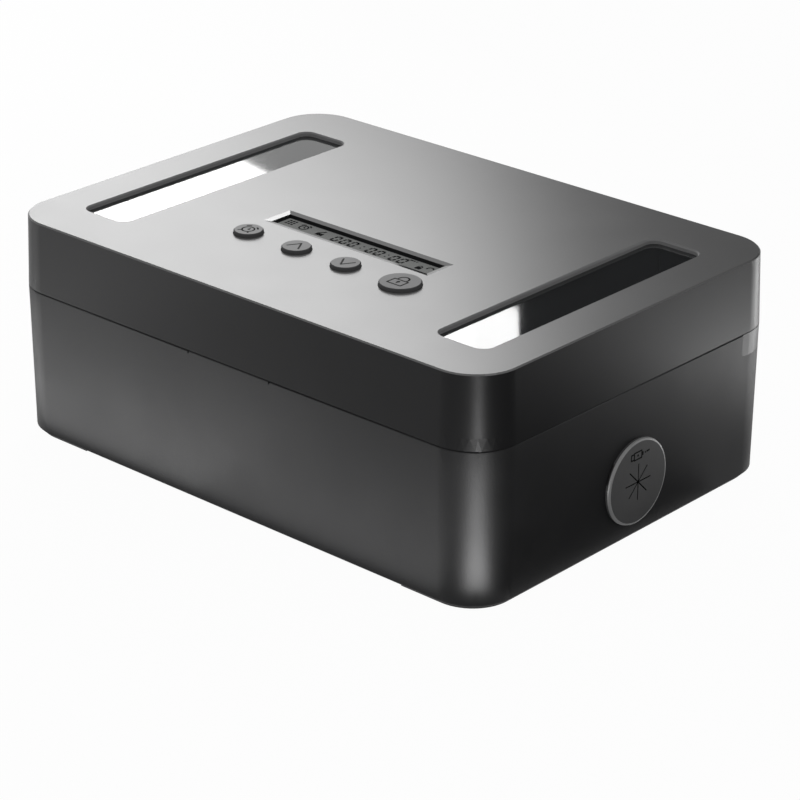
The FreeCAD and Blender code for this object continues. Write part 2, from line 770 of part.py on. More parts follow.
def make_grommet():
    """The rubber cable grommet: outer flange, neck, inner flange and a web slit as a star."""
    outer = half_width + d.grommet_rise
    back = half_width - drawn_in_per_mm * (seam - d.grommet_centre_height - d.grommet_flange_radius)
    inner_wall = half_width - d.case_wall - d.case_draft - d.grommet_seat_gap
    body = new_body("grommet")
    profile = sketch_on(body, "XZ_Plane", y=d.grommet_centre_height, z=-d.grommet_middle)
    neck, flange, inner = d.grommet_neck_radius, d.grommet_flange_radius, d.grommet_inner_flange_radius
    bevel = d.grommet_rim_bevel
    end = inner_wall - d.grommet_inner_flange
    web_low = outer - d.grommet_web
    bore = d.slit_length + d.grommet_bore_margin
    rim = ((outer, flange - bevel), (outer - bevel / 4, flange - bevel / 4), (outer - bevel, flange))
    polygon(profile, ((web_low, 0), (outer, 0), *rim, (back, flange), (back, neck), (inner_wall, neck),
                      (inner_wall, inner), (end, inner), (end, bore), (web_low, bore)))
    turn = body.newObject("PartDesign::Revolution", "revolution")
    turn.Profile = profile
    turn.ReferenceAxis = (profile, ["H_Axis"])
    turn.Angle = 360
    doc.recompute()
    slit = sketch_on(body, "YZ_Plane", d.grommet_middle, d.grommet_centre_height, outer)
    slot = feature(body, "Pocket", rectangle(slit, d.slit_width, d.slit_length * 2), d.grommet_web)
    star = body.newObject("PartDesign::PolarPattern", "star")
    star.Originals = [slot]
    star.Axis = (slit, ["N_Axis"])
    star.Angle = 180 - 180 / float(d.slit_lines)
    bind(star, "Occurrences", d.slit_lines)
    body.Tip = star
    doc.recompute()
    kept(body, "cable_grommet")


def key_places():
    """The four keys: name, place along the row, radius."""
    return (
        ("timer", d.timer_key_side, d.key_radius),
        ("up", d.up_key_side, d.key_radius),
        ("down", d.down_key_side, d.key_radius),
        ("lock", d.lock_key_side, d.lock_key_radius),
    )


def cover_screw_places():
    """Six screws round the inner cover: three on each side."""
    side, end = cover_half_width - d.cover_screw_side_inset, cover_half_depth - d.cover_screw_end_inset
    return [(across * side, along * end) for across in (-1, 1) for along in (-1, 0, 1)]


def board_screw_places():
    """Four screws that hold the circuit board to the lid."""
    side, end = d.board_width / 2 - d.board_screw_inset, d.board_depth / 2 - d.board_screw_inset
    return [(across * side, board_y + along * end) for across in (-1, 1) for along in (-1, 1)]


def make_lid():
    """The lid: tapered skirt, top with two windows, display recess, key holes, bosses and hinge knuckles."""
    body = new_body("lid")
    outline = sketch_on(body, "XY_Plane", z=lid_low)
    rounded_rectangle(outline, d.seam_width, d.seam_depth, d.seam_corner)
    taper = -slope(d.lid_draft, d.lid_height)
    feature(body, "Pad", outline, d.lid_height, taper)
    dress(body, "Chamfer", level(lid_high), d.lid_edge_bevel)
    hollow = sketch_on(body, "XY_Plane", z=lid_low)
    rounded_rectangle(hollow, d.seam_width - d.lid_wall * 2, d.seam_depth - d.lid_wall * 2,
                      d.seam_corner - d.lid_wall)
    feature(body, "Pocket", hollow, d.lid_height - d.lid_top, taper, reverse=True)
    cover_boss_low, board_boss_low = cover_top + d.board_seat_gap, board_top + d.board_seat_gap
    raise_bosses(body, cover_screw_places(), cover_boss_low, d.boss_radius, lid_under - cover_top)
    raise_bosses(body, board_screw_places(), board_boss_low, d.small_boss_radius, lid_under - board_top)
    groove_length = (hinge_half_length + d.groove_end_gap) * 2
    for side in (-1, 1):
        hinge_groove(body, side, d.barrel_radius + d.barrel_clearance, groove_length)
        knuckle(body, side, d.lid_knuckle_length, 0, 1)
        hinge_groove(body, side, d.pin_radius + d.pin_clearance, d.lid_knuckle_length + d.groove_end_gap)
    margin = (d.pane_margin + d.pane_clearance) * 2
    for side in (-1, 1):
        window = sketch_on(body, "XY_Plane", side * window_x, window_y, lid_high)
        rounded_rectangle(window, d.window_width, window_length, d.window_corner)
        feature(body, "Pocket", window, d.lid_top)
        seat = sketch_on(body, "XY_Plane", side * window_x, window_y, pane_top)
        rectangle(seat, d.window_width + margin, window_length + margin)
        feature(body, "Pocket", seat, d.lid_top)
    window_end = float(window_length) / 2 + SAME
    window_side = float(d.window_width) / 2 + SAME
    window_edge = lambda edge: (level(lid_high)(edge) and abs(edge.Center.y - float(window_y)) < window_end
                                and abs(abs(edge.Center.x) - float(window_x)) < window_side)
    dress(body, "Chamfer", window_edge, d.window_bevel)
    make_display_recess(body)
    for name, x, radius in key_places():
        hole = circle(sketch_on(body, "XY_Plane", x, key_row, lid_high), radius + d.key_clearance)
        feature(body, "Pocket", hole, d.lid_top)
    tools = holes(cover_screw_places(), cover_top, d.cover_screw_length)
    tools += holes(board_screw_places(), board_top, d.board_screw_length)
    kept(cut(body, tools, "lid_with_holes"), "lid_shell")


def make_display_recess(body):
    """Sink the display into the lid: a shallow bevel, a straight wall, and a seat for the lens under it."""
    top = sketch_on(body, "XY_Plane", y=display_y, z=lid_high)
    rectangle(top, d.display_width, d.display_depth)
    bevel_low = lid_high - d.display_bevel_depth
    low = sketch_on(body, "XY_Plane", y=display_y, z=bevel_low)
    rectangle(low, display_floor_width, display_floor_depth)
    doc.recompute()
    loft = body.newObject("PartDesign::SubtractiveLoft", "slope")
    loft.Profile = top
    loft.Sections = [low]
    loft.Ruled = True
    doc.recompute()
    wall = sketch_on(body, "XY_Plane", y=display_y, z=bevel_low)
    feature(body, "Pocket", rectangle(wall, display_floor_width, display_floor_depth), d.lid_top)
    seat = sketch_on(body, "XY_Plane", y=display_y, z=lens_top)
    margin = (d.lens_margin + d.pane_clearance) * 2
    rectangle(seat, display_floor_width + margin, display_floor_depth + margin)
    feature(body, "Pocket", seat, d.lid_top)


def plate(name, x, y, low, width, depth, thickness, corner=None):
    """Make a flat plate, with round corners where a corner radius is given."""
    body = new_body(name)
    outline = sketch_on(body, "XY_Plane", x, y, low)
    if corner is None:
        rectangle(outline, width, depth)
    else:
        rounded_rectangle(outline, width, depth, corner)
    feature(body, "Pad", outline, thickness)
    return body


def make_windows():
    """The two clear panes, each set up into its seat from below."""
    margin = d.pane_margin * 2
    width, length = d.window_width + margin, window_length + margin
    for name, side in (("left", -1), ("right", 1)):
        low = pane_top - d.pane_thickness
        pane = plate(f"pane_{name}", side * window_x, window_y, low, width, length, d.pane_thickness)
        kept(pane, f"window_pane_{name}")


def make_display():
    """The display: clear lens, liquid crystal panel, and the lit frame that holds it over the board."""
    margin = d.lens_margin * 2
    lens = plate("lens", 0, display_y, lens_top - d.lens_thickness, display_floor_width + margin,
                 display_floor_depth + margin, d.lens_thickness)
    kept(lens, "display_lens")
    spread = d.panel_margin * 2
    panel_low = panel_top - d.panel_thickness
    panel = plate("panel", 0, display_y, panel_low, display_floor_width + spread,
                  display_floor_depth + spread, d.panel_thickness)
    kept(panel, "display_panel")
    low = board_top + d.board_seat_gap
    frame = plate("frame", 0, display_y, low, display_floor_width + spread, display_floor_depth + spread,
                  panel_low - low)
    kept(frame, "display_backlight")


def make_board():
    """The circuit board with its switches, chip and buzzer, and the screws that hold it to the lid."""
    board = plate("board", 0, board_y, board_low, d.board_width, d.board_depth, d.board_thickness)
    drill(board, "XY_Plane", board_screw_places(), board_low, d.board_thickness)
    kept(board, "main_board")
    places = [(x, y, board_low) for x, y in board_screw_places()]
    screws("board_screws", places, d.board_screw_length)
    switches = []
    for name, x, radius in key_places():
        can = centred_box(x, key_row, board_top, d.switch_side, d.switch_side, d.switch_body_height)
        stem = prism(d.switch_stem_radius, d.switch_stem_height + d.switch_stem_root, HEAD_SIDES, x, key_row,
                     board_top + d.switch_body_height - d.switch_stem_root)
        switches.append(joined([can, stem], "switch"))
    kept(group(switches, "switches"), "key_switches")
    chip = centred_box(d.chip_side_place, board_y, board_low - d.chip_height, d.chip_side, d.chip_side,
                       d.chip_height)
    kept(chip, "controller_chip")
    buzzer = rod(d.buzzer_radius, d.buzzer_height, d.buzzer_side_place, board_y, board_low - d.buzzer_height)
    kept(buzzer, "buzzer")


def make_keys():
    """The four round keys, each kept in its hole by a flange under the lid."""
    flange_low = lid_under - d.key_flange_gap - d.key_flange_height
    for name, x, radius in key_places():
        body = new_body(f"{name}_cap")
        flange = circle(sketch_on(body, "XY_Plane", x, key_row, flange_low), radius + d.key_flange_margin)
        feature(body, "Pad", flange, d.key_flange_height)
        cap = circle(sketch_on(body, "XY_Plane", x, key_row, flange_low), radius)
        feature(body, "Pad", cap, lid_high + d.key_rise - flange_low)
        dress(body, "Chamfer", level(lid_high + d.key_rise), d.key_edge_bevel)
        kept(body, f"{name}_key")


def make_cover():
    """The inner cover: a tray under the lid's electronics with a bolt slot and a battery opening."""
    cover_width, cover_depth = cover_half_width * 2, cover_half_depth * 2
    body = plate("cover", 0, 0, cover_low, cover_width, cover_depth,
                 lid_under - d.cover_top_gap - cover_low, d.cover_corner)
    dress(body, "Chamfer", level(cover_low), d.cover_edge_bevel)
    inside = sketch_on(body, "XY_Plane", z=cover_top)
    rounded_rectangle(inside, cover_width - d.cover_wall * 2, cover_depth - d.cover_wall * 2,
                      d.cover_corner - d.cover_wall)
    feature(body, "Pocket", inside, d.lid_height, reverse=True)
    slot_height = d.bolt_nose_height + d.bolt_clearance + d.bolt_slot_clearance
    slot = sketch_on(body, "XZ_Plane", y=cover_top + slot_height / 2, z=cover_half_depth)
    rectangle(slot, d.bolt_width + d.bolt_slot_clearance * 2, slot_height)
    feature(body, "Pocket", slot, d.cover_wall + d.drill_overlap)
    opening = sketch_on(body, "XY_Plane", y=battery_y, z=cover_top)
    rectangle(opening, battery_half_length * 2, battery_half_depth * 2)
    feature(body, "Pocket", opening, d.cover_floor)
    tab = sketch_on(body, "XY_Plane", y=battery_y + battery_half_depth, z=cover_low)
    rectangle(tab, d.door_tab_width + d.door_clearance * 2, (d.door_tab_length + d.door_clearance) * 2)
    feature(body, "Pocket", tab, d.door_tab_thickness, reverse=True)
    door_screw = [(0, door_screw_y)]
    raise_bosses(body, door_screw, cover_top, d.small_boss_radius, d.door_screw_length)
    tools = holes(door_screw, cover_low, d.door_tab_thickness + d.door_screw_length)
    hole_depth = d.lock_screw_length - d.guide_flange_height + d.screw_end_gap
    tools += holes(guide_screw_places() + bracket_screw_places(), cover_top - hole_depth, hole_depth + SAME)
    head_room = d.screw_head_radius + d.screw_head_clearance
    tools += holes(cover_screw_places(), cover_low, d.screw_head_height, head_room, BOSS_SIDES)
    tools += holes(cover_screw_places(), cover_low, d.cover_floor)
    kept(cut(body, tools, "cover_with_holes"), "inner_cover")


def make_lock():
    """The lock: bolt with its rack, pinion and shaft, guide, gear motor and bracket."""
    bolt = plate("bolt", 0, bolt_tip + d.bolt_length / 2, bolt_low, d.bolt_width, d.bolt_length,
                 d.bolt_thickness)
    nose = sketch_on(bolt, "XY_Plane", 0, bolt_tip + d.bolt_nose_length / 2, bolt_low)
    feature(bolt, "Pad", rectangle(nose, d.bolt_width, d.bolt_nose_length), d.bolt_nose_height)
    pitch = d.tooth_module * math.pi
    tooth_half = (pitch - d.gear_backlash) / 4
    flank = math.tan(math.radians(d.pressure_angle))
    tooth = sketch_on(bolt, "YZ_Plane", pinion_y - pitch / 2, pitch_line)
    tip_half = tooth_half - rack_addendum * flank
    root_half = tooth_half + rack_dedendum * flank
    polygon(tooth, ((-root_half, -rack_dedendum), (root_half, -rack_dedendum), (tip_half, rack_addendum),
                    (-tip_half, rack_addendum)))
    first = feature(bolt, "Pad", tooth, d.rack_width, both=True)
    rack = bolt.newObject("PartDesign::LinearPattern", "rack")
    rack.Originals = [first]
    rack.Direction = (tooth, ["H_Axis"])
    bind(rack, "Length", pitch * (d.rack_teeth - 1))
    bind(rack, "Occurrences", d.rack_teeth)
    bolt.Tip = rack
    doc.recompute()
    kept(bolt, "lock_bolt")

    shaft_start = gearbox_face - d.motor_shaft_length
    pinion = doc.addObject("Part::Feature", "pinion")
    pinion.Shape = pinion_shape()
    place(pinion, shaft_start, pinion_y, pinion_z)
    kept(pinion, "lock_pinion")
    seat = d.motor_shaft_seat
    shaft_length = d.motor_shaft_length + seat
    shaft = rod(d.motor_shaft_radius, shaft_length, shaft_start, pinion_y, pinion_z, Y_AXIS, 90)
    kept(shaft, "pinion_shaft")

    low = pinion_z - d.motor_height / 2
    gearbox = box(gearbox_face, pinion_y - d.motor_width / 2, low, d.gearbox_length, d.motor_width,
                  d.motor_height)
    bore = rod(d.motor_shaft_radius + d.motor_shaft_clearance, seat + d.motor_shaft_clearance, gearbox_face,
               pinion_y, pinion_z, Y_AXIS, 90)
    kept(cut(gearbox, [bore], "gearbox"), "motor_gearbox")
    motor = new_body("motor")
    outline = sketch_on(motor, "YZ_Plane", pinion_y, pinion_z, gearbox_face + d.gearbox_length)
    rounded_rectangle(outline, d.motor_width, d.motor_height, d.motor_corner)
    feature(motor, "Pad", outline, d.can_length)
    kept(motor, "lock_motor")
    make_bolt_guide()
    make_motor_bracket()


def pinion_shape():
    """Make the pinion about the X axis, with one tooth pointing straight down and a bore for its shaft."""
    module, teeth = float(d.tooth_module), int(d.pinion_teeth)
    radius = module * teeth / 2
    pressure = math.radians(d.pressure_angle)
    base = radius * math.cos(pressure)
    root = radius - module * float(d.pinion_dedendum)
    tip = radius + module * float(d.pinion_addendum)
    half_tooth = (math.pi * module - float(d.gear_backlash)) / 4 / radius
    at_base = half_tooth + math.tan(pressure) - pressure

    def flank_angle(distance):
        turn = math.acos(base / distance)
        return at_base - math.tan(turn) + turn

    def point(distance, angle):
        return Vector(0, distance * math.sin(angle), -distance * math.cos(angle))

    corners = []
    step = 2 * math.pi / teeth
    middle_radius = (base + tip) / 2
    for number in range(teeth):
        centre = number * step
        up = [(distance, -flank_angle(distance)) for distance in (base, middle_radius, tip)]
        down = [(distance, -angle) for distance, angle in reversed(up)]
        half = [(root, -at_base), *up, *down, (root, at_base)]
        corners += [point(distance, centre + angle) for distance, angle in half]
    face = Part.Face(Part.makePolygon(corners + corners[:1]))
    gear = face.extrude(Vector(float(d.pinion_width), 0, 0))
    bore = Part.makeCylinder(float(d.motor_shaft_radius), float(d.pinion_width), Vector(), X_AXIS)
    return gear.cut(bore)


def guide_screw_places():
    """Two screws through the guide's flanges, one each side of the bolt."""
    side = guide_half_width + d.guide_flange / 2
    return [(way * side, guide_y) for way in (-1, 1)]


def bracket_screw_places():
    """Two screws through the motor bracket's flange."""
    row = pinion_y + bracket_half_width + d.bracket_flange / 2
    return [(bracket_start + d.bracket_length * share, row) for share in (0.25, 0.75)]


def make_bolt_guide():
    """The guide over the bolt: a channel, a window for the pinion and two screw flanges."""
    block = centred_box(0, guide_y, cover_top, guide_half_width * 2, d.guide_length, guide_top - cover_top)
    flange_width = (guide_half_width + d.guide_flange) * 2
    flange = centred_box(0, guide_y, cover_top, flange_width, d.guide_flange_length, d.guide_flange_height)
    channel_width = d.bolt_width + d.bolt_clearance * 2
    channel_height = guide_top - d.guide_roof - cover_top
    channel = centred_box(0, guide_y, cover_top, channel_width, d.guide_length, channel_height)
    window = centred_box(0, pinion_y, cover_top, channel_width, (pitch_radius + d.pinion_room) * 2,
                         guide_top - cover_top)
    holes = [prism(screw_hole_radius, d.guide_flange_height, HOLE_SIDES, x, y, cover_top)
             for x, y in guide_screw_places()]
    kept(cut(joined([block, flange]), [channel, window] + holes, "guide"), "bolt_guide")


def make_motor_bracket():
    """The bracket that the gear motor slides into, with a flange for two screws behind it."""
    top = pinion_z + d.motor_height / 2 + d.motor_clearance + d.bracket_wall
    block = box(bracket_start, pinion_y - bracket_half_width, cover_top, d.bracket_length,
                bracket_half_width * 2, top - cover_top)
    flange = box(bracket_start, pinion_y, cover_top, d.bracket_length, bracket_half_width + d.bracket_flange,
                 d.guide_flange_height)
    room = box(bracket_start, pinion_y - d.motor_width / 2 - d.motor_clearance,
               pinion_z - d.motor_height / 2 - d.motor_clearance, d.bracket_length,
               d.motor_width + d.motor_clearance * 2, d.motor_height + d.motor_clearance * 2)
    holes = [prism(screw_hole_radius, d.guide_flange_height, HOLE_SIDES, x, y, cover_top)
             for x, y in bracket_screw_places()]
    kept(cut(joined([block, flange]), [room] + holes, "bracket"), "motor_bracket")


def make_lock_screws():
    """The four screws, driven down into the inner cover, that hold the guide and the bracket."""
    places = [(x, y, cover_top + d.guide_flange_height)
              for x, y in guide_screw_places() + bracket_screw_places()]
    screws("lock_screws", places, d.lock_screw_length, X_AXIS, 180)


def make_batteries():
    """The battery holder on the cover, three cells, their contacts, and the door with its screw."""
    holder = plate("holder", 0, battery_y, cover_top, (battery_half_length + d.battery_wall) * 2,
                   (battery_half_depth + d.battery_wall) * 2, holder_top - cover_top)
    room = rectangle(sketch_on(holder, "XY_Plane", y=battery_y, z=cover_top), battery_half_length * 2,
                     battery_half_depth * 2)
    feature(holder, "Pocket", room, holder_top - cover_top - d.battery_wall, reverse=True)
    kept(holder, "battery_holder")
    cells = []
    cap_height = d.cell_cap_height
    middle_number = (int(d.cell_count) - 1) / 2
    for number in range(int(d.cell_count)):
        y = battery_y + d.cell_spacing * (number - middle_number)
        way = 1 if number % 2 else -1
        body_start = -d.cell_length / 2 + (cap_height if way < 0 else 0)
        can = rod(d.cell_radius, d.cell_length - cap_height, body_start, y, cell_z, Y_AXIS, 90)
        cap_start = (d.cell_length / 2 - cap_height) * way - cap_height
        cap = place(prism(d.cell_cap_radius, cap_height * 2, HEAD_SIDES, 0, 0, 0), cap_start, y, cell_z,
                    Y_AXIS, 90)
        cells.append(joined([can, cap], "cell"))
    kept(group(cells, "cells"), "battery_cells")
    contact_x = battery_half_length - d.contact_thickness / 2 - d.contact_gap
    contacts = [centred_box(side * contact_x, battery_y, cell_z - d.contact_height / 2, d.contact_thickness,
                            (battery_half_depth - d.battery_wall) * 2, d.contact_height) for side in (-1, 1)]
    kept(group(contacts, "contacts"), "battery_contacts")
    door = plate("door", 0, battery_y, cover_low, (battery_half_length - d.door_clearance) * 2,
                 (battery_half_depth - d.door_clearance) * 2, d.door_thickness)
    tab = sketch_on(door, "XY_Plane", y=battery_y + battery_half_depth, z=cover_low)
    feature(door, "Pad", rectangle(tab, d.door_tab_width, d.door_tab_length * 2), d.door_tab_thickness)
    drill(door, "XY_Plane", [(0, door_screw_y)], cover_low, d.door_tab_thickness)
    kept(door, "battery_door")
    screws("battery_door_screw", [(0, door_screw_y, cover_low)], d.door_screw_length)


def make_cover_screws():
    """The six screws that hold the inner cover up to the lid."""
    places = [(x, y, cover_low + d.screw_head_height) for x, y in cover_screw_places()]
    screws("cover_screws", places, d.cover_screw_length - d.cover_floor)


def check_and_export():
    """Stop on any failed object, then write each node to its own file."""
    doc.recompute()
    for thing in doc.Objects:
        if "Invalid" in thing.State or "Error" in thing.State:
            raise RuntimeError(f"{thing.Name} failed: {thing.State}")
    os.makedirs("parts", exist_ok=True)
    for thing in nodes:
        if thing.Shape.isNull() or not thing.Shape.isValid() or not thing.Shape.Solids:
            raise RuntimeError(f"{thing.Label} has no sound solid")
        thing.Shape.exportStep(f"parts/{thing.Label}.step")
        print(f"{thing.Label}: {len(thing.Shape.Solids)} solids, {thing.Shape.Volume:.1f} mm3")


make_case()
make_hinge()
make_feet()
make_keeper()
make_grommet()
make_lid()
make_windows()
make_display()
make_board()
make_keys()
make_cover()
make_lock()
make_lock_screws()
make_batteries()
make_cover_screws()
check_and_export()
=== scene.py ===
import json
import math

import bmesh
import bpy
from mathutils import Matrix, Vector


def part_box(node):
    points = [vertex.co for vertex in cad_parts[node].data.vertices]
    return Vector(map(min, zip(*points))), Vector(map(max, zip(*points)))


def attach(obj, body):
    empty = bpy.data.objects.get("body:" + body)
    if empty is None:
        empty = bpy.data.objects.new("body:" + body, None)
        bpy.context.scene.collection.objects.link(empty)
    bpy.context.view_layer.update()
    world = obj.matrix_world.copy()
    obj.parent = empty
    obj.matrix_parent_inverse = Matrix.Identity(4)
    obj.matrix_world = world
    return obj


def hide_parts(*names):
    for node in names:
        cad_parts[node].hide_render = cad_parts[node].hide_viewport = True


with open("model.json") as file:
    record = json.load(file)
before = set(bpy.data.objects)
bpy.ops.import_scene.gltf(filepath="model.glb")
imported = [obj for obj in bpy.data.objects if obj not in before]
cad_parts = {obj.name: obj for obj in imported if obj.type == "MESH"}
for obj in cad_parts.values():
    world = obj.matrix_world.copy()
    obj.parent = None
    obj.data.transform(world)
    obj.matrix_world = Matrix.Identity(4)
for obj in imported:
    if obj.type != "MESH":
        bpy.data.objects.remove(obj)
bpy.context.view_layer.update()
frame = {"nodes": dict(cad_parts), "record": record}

# Lengths are in metres, in the part's own frame: +X is the cable side, -Y the front, +Z up.
# Places in tables and drawings are in millimetres.
MM = 0.001
X, Y, Z = 0, 1, 2

# The camera, as it stood for the photograph: a point in the box that it looks at, and where it looks from.
CAMERA_TARGET = Vector((36.21, -34.26, 39.38)) * MM
CAMERA_DISTANCE = 942.42 * MM
CAMERA_AZIMUTH = math.radians(42.11)
CAMERA_ELEVATION = math.radians(24.27)
CAMERA_ROLL = math.radians(0.21)
CAMERA_LENS = 132.42
CAMERA_REACH = 20

# The studio.
FLOOR_SIDE = 6.0
FLOOR_GAP = 0.05 * MM
FLOOR_PALE = (0.9, 0.9, 0.9, 1)
FLOOR_GLOW_SHARE = 0.97
WORLD_LIGHT = 0.4
WHITE = (1, 1, 1, 1)

# Each lamp's name, one corner, its two sides and its radiance. The softbox lights everything. The glows lie
# on the floor and show only in reflections, where they shape the walls and the near corner.
SOFTBOX = ("key_softbox", (-1136, 588, 287), (894, -220, 0), (-13, 18, 310), 6.4)
GLOWS = (
    ("corner_glow", (101, -86, 2), (14, 16, 0), (128, -111, 0), 42.0),
    ("near_left_glow", (-210, -79, 2), (190, 0, 0), (0, -46, 0), 5.4),
    ("near_right_glow", (-20, -79, 2), (105, 0, 0), (0, -46, 0), 3.2),
    ("far_left_glow", (-340, -125, 2), (190, 0, 0), (0, -180, 0), 2.2),
    ("far_right_glow", (112, 108, 2), (58, 12, 0), (0, 190, 0), 9.0),
)

# Each black card's name and corners.
CARDS = (
    ("far_card", ((-430, 545, 60), (420, 545, 60), (420, 545, 700), (-430, 545, 700))),
    ("front_card", ((-230, -124, 1), (75, -124, 1), (75, -168, 1), (-230, -168, 1))),
    ("right_card", ((108, -60, 1), (420, -330, 1), (420, 250, 1), (108, 45, 1))),
)

# The finishes: colour, roughness, how much each of the two changes, the grain's scale, the bump's strength,
# and the shader's other settings.
FINISHES = {
    "case_plastic": ((0.018, 0.018, 0.019), 0.5, 0.12, 0.05, 3200.0, 0.35, {"Specular IOR Level": 0.13}),
    "lid_plastic": ((0.016, 0.016, 0.017), 0.36, 0.05, 0.015, 5200.0, 0.02, {"Specular IOR Level": 0.11}),
    "lid_top_satin": ((0.14, 0.14, 0.141), 0.35, 0.04, 0.012, 5200.0, 0.015, {}),
    "display_bevel_polish": ((0.08, 0.08, 0.081), 0.07, 0.04, 0.01, 5200.0, 0.005,
                             {"Specular IOR Level": 0.9}),
    # The window reveals are painted much paler than the lid around them: painted light.
    "window_reveal_painted_light": ((0.24, 0.24, 0.242), 0.4, 0.04, 0.012, 5200.0, 0.01, {"Specular IOR Level": 0.2}),
    # The grommet's rim is painted much paler than its rubber: a painted highlight.
    "grommet_rim_painted_highlight": ((0.34, 0.34, 0.342), 0.45, 0.06, 0.03, 4200.0, 0.02, {}),
    "black_card": ((0.004, 0.004, 0.004), 0.9, 0.06, 0.04, 2600.0, 0.05, {"Specular IOR Level": 0.0}),
    "key_plastic": ((0.09, 0.09, 0.092), 0.45, 0.06, 0.03, 4200.0, 0.08, {"Specular IOR Level": 0.2}),
    "rubber_dark": ((0.085, 0.085, 0.086), 0.62, 0.15, 0.05, 2600.0, 0.25, {"Specular IOR Level": 0.35}),
    "inner_plastic": ((0.02, 0.02, 0.021), 0.6, 0.12, 0.06, 1500.0, 0.4, {}),
    "lock_plastic": ((0.62, 0.6, 0.55), 0.4, 0.04, 0.05, 2600.0, 0.05, {}),
    "steel": ((0.55, 0.56, 0.57), 0.3, 0.05, 0.06, 2600.0, 0.05, {"Metallic": 1.0}),
    "brass_gear": ((0.72, 0.55, 0.25), 0.3, 0.06, 0.05, 2600.0, 0.05, {"Metallic": 1.0}),
    "black_screw": ((0.05, 0.05, 0.052), 0.35, 0.1, 0.08, 2600.0, 0.05, {"Metallic": 0.8}),
    "board_green": ((0.02, 0.12, 0.05), 0.35, 0.12, 0.05, 900.0, 0.1, {}),
    "component_black": ((0.025, 0.025, 0.026), 0.5, 0.1, 0.05, 1600.0, 0.2, {}),
    "cell_wrap": ((0.09, 0.1, 0.11), 0.32, 0.08, 0.04, 700.0, 0.03, {"Coat Weight": 0.3}),
    "white_frame": ((0.75, 0.75, 0.73), 0.5, 0.03, 0.04, 2600.0, 0.05, {}),
    # The panel glows faintly, as a backlit display does; the glow also evens out the shade that the display's
    # walls cast on it, so it is partly painted light.
    "display_grey": ((0.06, 0.061, 0.06), 0.5, 0.06, 0.05, 5000.0, 0.01,
                     {"Specular IOR Level": 0.0, "Emission Color": (0.9, 0.92, 0.9, 1),
                      "Emission Strength": 0.15}),
    "display_ink": ((0.006, 0.006, 0.007), 0.6, 0.2, 0.05, 4000.0, 0.01, {"Specular IOR Level": 0.0}),
    # Near-black marks for the key signs, also laid on the screw heads as painted shade for their slots.
    "dark_marks_and_slot_shade": ((0.008, 0.008, 0.008), 0.6, 0.15, 0.05, 4000.0, 0.05, {"Specular IOR Level": 0.06}),
    # Near-black print for the plug sign, also laid on the grommet's slit walls as painted shade.
    "sign_print_and_slit_shade": ((0.004, 0.004, 0.004), 0.7, 0.1, 0.04, 4000.0, 0.02, {"Specular IOR Level": 0.05}),
}
BRUSHED = ("steel", "brass_gear")
PATCH_SCALE = 60.0
PATCH_SCALES = {"display_grey": 110.0}
BUMP_DISTANCE = 0.0001

# The span in which nearly all noise values lie, and the scratches' noise, which is drawn out along X.
NOISE_LOW, NOISE_HIGH = 0.3, 0.7
BRUSH_DRAWN = (0.03, 1.0, 1.0)
BRUSH_SCALE = 4200.0

# The clear plastics: the tint of the body, how much of it shows, and the index of the polished face. The
# display's lens is left without a shine, as the photograph shows none on it.
CLEAR_FINISHES = {
    "clear_pane": ((0.05, 0.052, 0.054), 0.55, 1.58),
    "display_glass": ((0.5, 0.52, 0.51), 0.02, 1.0),
}
CLEAR_GRAIN = {"Colour Change": 0.06, "Roughness": 0.04, "Roughness Change": 0.015, "Grain Scale": 900.0,
               "Patch Scale": 25.0}

# The smooth copies of CAD nodes: what counts as one point, as flat and as a sharp edge.
SMOOTH_NODES = ("case_shell", "hinge_rail", "foot_strips", "hinge_pins", "inner_cover", "battery_door")
MERGE_DISTANCE = 0.002 * MM
FLAT_ANGLE = math.radians(0.2)
SHARP_ANGLE = math.radians(30)
LID_SHARP_ANGLE = math.radians(10)

# The lid's faces are told apart by the Z of their normal, and by how far under the top they lie.
LEVEL, NEARLY_LEVEL, ROUNDED = 0.99, 0.9, 0.6
TOP_DEPTH, BEVEL_DEPTH, RIM_DEPTH = 0.01, 0.4, 0.5
RIM_FROM_SIDES, RIM_FROM_ENDS = 3, 10

# The grommet's rim and slit are told apart by the X of their normal, and by their share of its radius.
RIM_LEAST, RIM_MOST, RIM_SHARE = 0.25, 0.97, 0.8
SLIT_MOST, SLIT_SHARE = 0.3, 0.5

# The signs: thin flat pieces.
SIGN_THICKNESS = 0.04 * MM
PRESS_DEPTH = 0.02 * MM
PANEL_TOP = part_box("display_panel")[1].z
KEY_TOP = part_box("timer_key")[1].z
ROUND_SIDES = 8
DIGIT_WIDTH, DIGIT_HEIGHT, DIGIT_STROKE, DIGIT_LEAN = 2.0, 3.9, 0.78, 0.12
DIGIT_GAP, DIGIT_SHORTENING = 0.12, 0.2
DIGIT_PLACES, COLON_PLACES, DIGIT_ROW = (-11.1, -7.3, -3.6, 4.3, 8.0, 14.6, 18.2), (0.4, 11.3), -13.4
COLON_RISE, COLON_RADIUS = 0.9, 0.34
GRID_COUNT, GRID_PITCH, GRID_HALF_CELL = 3, 1.3, 0.42
PLUG_SIGN_PLACE = (0.6, 30.5)
SLOT_REACH, SLOT_WIDTH = 1.25, 0.5

# The screws whose heads can be seen, with the axis and the way that the heads face.
SLOTTED_SCREWS = (("cover_screws", Z, -1), ("battery_door_screw", Z, -1), ("rail_screws", Y, -1),
                  ("keeper_screws", Y, 1))

BODY_OF = {node: body for body, nodes in frame["record"]["behaviour"]["bodies"].items() for node in nodes}
SLOT_OF = {part["node"]: part["material_slot"] for part in frame["record"]["subparts"]}
MATERIALS = {}

scene = bpy.context.scene
scene.view_settings.view_transform = "Standard"


def look(azimuth, elevation):
    """Give the direction from the object towards a viewer, as a unit vector."""
    return Vector((math.sin(azimuth) * math.cos(elevation), -math.cos(azimuth) * math.cos(elevation),
                   math.sin(elevation)))


